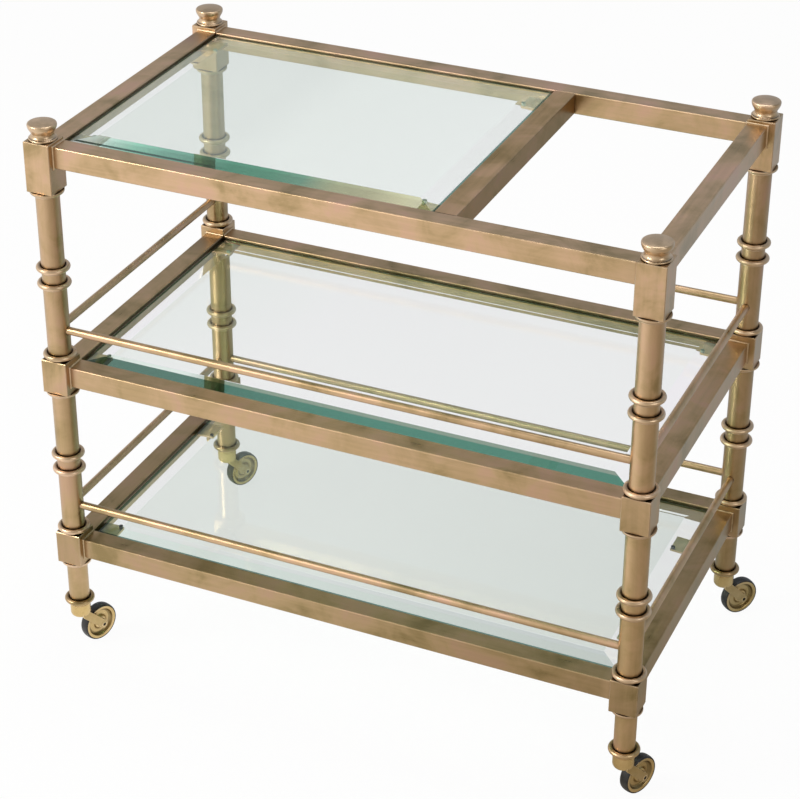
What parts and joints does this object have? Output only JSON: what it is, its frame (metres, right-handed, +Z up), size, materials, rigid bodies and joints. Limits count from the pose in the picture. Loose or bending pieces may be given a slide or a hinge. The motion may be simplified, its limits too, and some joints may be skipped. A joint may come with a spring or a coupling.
{
  "type": "dessert trolley",
  "caption": "Three-tier serving trolley with turned corner posts, bevelled glass shelves, gallery rods, an open bay in the top tier and swivel casters.",
  "frame": {"origin": "on the floor, under the middle of the footprint of posts and wheels", "axes": "+X along the long side, towards the open bay; +Y towards the back; +Z up"},
  "size_m": [0.7778, 0.4645, 0.7245],
  "materials": {
    "antique_brass": "brushed, aged",
    "caster_brass": "satin",
    "rod_steel": "zinc plated",
    "glass": "clear, bevelled edges",
    "bumper_rubber": "matte",
    "tyre": "satin black"
  },
  "bodies": {
    "frame": {"rail_top_front": "antique_brass", "rail_top_back": "antique_brass", "rail_top_left": "antique_brass", "rail_top_right": "antique_brass", "rail_top_cross": "antique_brass", "rail_mid_front": "antique_brass", "rail_mid_back": "antique_brass", "rail_mid_left": "antique_brass", "rail_mid_right": "antique_brass", "rail_low_front": "antique_brass", "rail_low_back": "antique_brass", "rail_low_left": "antique_brass", "rail_low_right": "antique_brass", "glass_top": "glass", "glass_mid": "glass", "glass_low": "glass", "gallery_mid_front": "antique_brass", "gallery_mid_back": "antique_brass", "gallery_mid_left": "antique_brass", "gallery_mid_right": "antique_brass", "gallery_low_front": "antique_brass", "gallery_low_back": "antique_brass", "gallery_low_left": "antique_brass", "gallery_low_right": "antique_brass", "blocks_fl": "antique_brass", "blocks_fr": "antique_brass", "blocks_br": "antique_brass", "blocks_bl": "antique_brass", "tubes_fl": "antique_brass", "tubes_fr": "antique_brass", "tubes_br": "antique_brass", "tubes_bl": "antique_brass", "collars_fl": "antique_brass", "collars_fr": "antique_brass", "collars_br": "antique_brass", "collars_bl": "antique_brass", "finial_fl": "antique_brass", "finial_fr": "antique_brass", "finial_br": "antique_brass", "finial_bl": "antique_brass", "tie_rods": "rod_steel", "glass_lugs": "antique_brass", "glass_bumpers": "bumper_rubber"},
    "swivel_fl": {"caster_fork_fl": "caster_brass", "caster_axle_fl": "caster_brass"},
    "wheel_fl": {"caster_wheel_fl": "caster_brass", "caster_tyre_fl": "tyre"},
    "swivel_fr": {"caster_fork_fr": "caster_brass", "caster_axle_fr": "caster_brass"},
    "wheel_fr": {"caster_wheel_fr": "caster_brass", "caster_tyre_fr": "tyre"},
    "swivel_br": {"caster_fork_br": "caster_brass", "caster_axle_br": "caster_brass"},
    "wheel_br": {"caster_wheel_br": "caster_brass", "caster_tyre_br": "tyre"},
    "swivel_bl": {"caster_fork_bl": "caster_brass", "caster_axle_bl": "caster_brass"},
    "wheel_bl": {"caster_wheel_bl": "caster_brass", "caster_tyre_bl": "tyre"}
  },
  "joints": [
    {"name": "swivel_fl_turn", "type": "hinge", "parent": "frame", "child": "swivel_fl", "pos_m": [-0.36921, -0.2126, 0.0722], "axis": [0, 0, 1], "continuous": true},
    {"name": "wheel_fl_roll", "type": "hinge", "parent": "swivel_fl", "child": "wheel_fl", "pos_m": [-0.36035, -0.18773, 0.0245], "axis": [0.9421, -0.3355, 0], "continuous": true},
    {"name": "swivel_fr_turn", "type": "hinge", "parent": "frame", "child": "swivel_fr", "pos_m": [0.35279, -0.2126, 0.0722], "axis": [0, 0, 1], "continuous": true},
    {"name": "wheel_fr_roll", "type": "hinge", "parent": "swivel_fr", "child": "wheel_fr", "pos_m": [0.36374, -0.18857, 0.0245], "axis": [0.91, -0.4147, 0], "continuous": true},
    {"name": "swivel_br_turn", "type": "hinge", "parent": "frame", "child": "swivel_br", "pos_m": [0.35279, 0.1834, 0.0722], "axis": [0, 0, 1], "continuous": true},
    {"name": "wheel_br_roll", "type": "hinge", "parent": "swivel_br", "child": "wheel_br", "pos_m": [0.36919, 0.20409, 0.0245], "axis": [0.7837, -0.6211, 0], "continuous": true},
    {"name": "swivel_bl_turn", "type": "hinge", "parent": "frame", "child": "swivel_bl", "pos_m": [-0.36921, 0.1834, 0.0722], "axis": [0, 0, 1], "continuous": true},
    {"name": "wheel_bl_roll", "type": "hinge", "parent": "swivel_bl", "child": "wheel_bl", "pos_m": [-0.35889, 0.2077, 0.0245], "axis": [0.9205, -0.3907, 0], "continuous": true}
  ]
}
